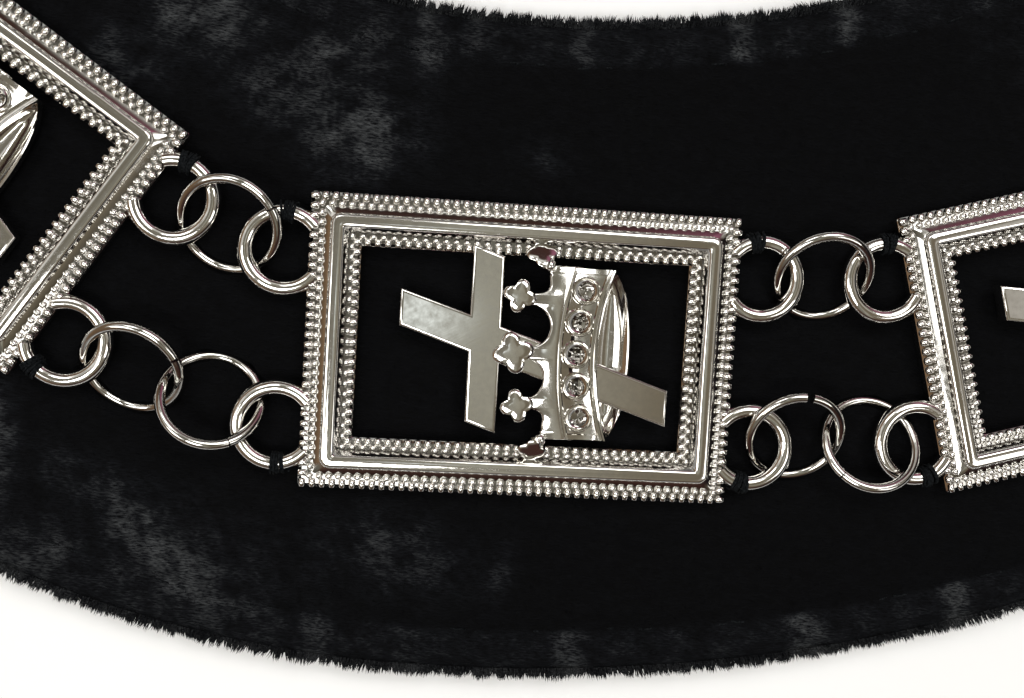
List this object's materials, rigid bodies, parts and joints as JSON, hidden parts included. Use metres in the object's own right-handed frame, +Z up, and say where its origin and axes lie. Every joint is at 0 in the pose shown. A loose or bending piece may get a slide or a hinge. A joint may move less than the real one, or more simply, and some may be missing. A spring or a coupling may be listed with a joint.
{
  "type": "chain collar",
  "caption": "Oval collar of padded black velvet with a chain of rectangular cross and crown plaques joined by jump rings.",
  "frame": {"origin": "centre of the band's oval outline, on the underside of the band", "axes": "+Z up through the band, which lies flat; +Y from the front of the collar to the nape; +X to the right seen from above"},
  "size_m": [0.3776, 0.457, 0.0117],
  "materials": {
    "velvet": "black cut-pile velvet, matt with grey patches where the pile lies over",
    "nickel": "polished nickel plate, slightly warm, on cast metal and wire",
    "thread": "black sewing thread"
  },
  "bodies": {
    "root": {"velvet_band": "velvet", "plaque_01": "nickel", "plaque_02": "nickel", "plaque_03": "nickel", "plaque_04": "nickel", "plaque_05": "nickel", "plaque_06": "nickel", "plaque_07": "nickel", "plaque_08": "nickel", "plaque_09": "nickel", "plaque_10": "nickel", "plaque_11": "nickel", "inner_ring_01": "nickel", "inner_ring_02": "nickel", "inner_ring_03": "nickel", "inner_ring_04": "nickel", "inner_ring_05": "nickel", "inner_ring_06": "nickel", "inner_ring_07": "nickel", "inner_ring_08": "nickel", "inner_ring_09": "nickel", "inner_ring_10": "nickel", "inner_ring_11": "nickel", "outer_ring_01a": "nickel", "outer_ring_01b": "nickel", "outer_ring_02a": "nickel", "outer_ring_02b": "nickel", "outer_ring_03a": "nickel", "outer_ring_03b": "nickel", "outer_ring_04a": "nickel", "outer_ring_04b": "nickel", "outer_ring_05a": "nickel", "outer_ring_05b": "nickel", "outer_ring_06a": "nickel", "outer_ring_06b": "nickel", "outer_ring_07a": "nickel", "outer_ring_07b": "nickel", "outer_ring_08a": "nickel", "outer_ring_08b": "nickel", "outer_ring_09a": "nickel", "outer_ring_09b": "nickel", "outer_ring_10a": "nickel", "outer_ring_10b": "nickel", "outer_ring_11a": "nickel", "outer_ring_11b": "nickel"}
  },
  "joints": []
}
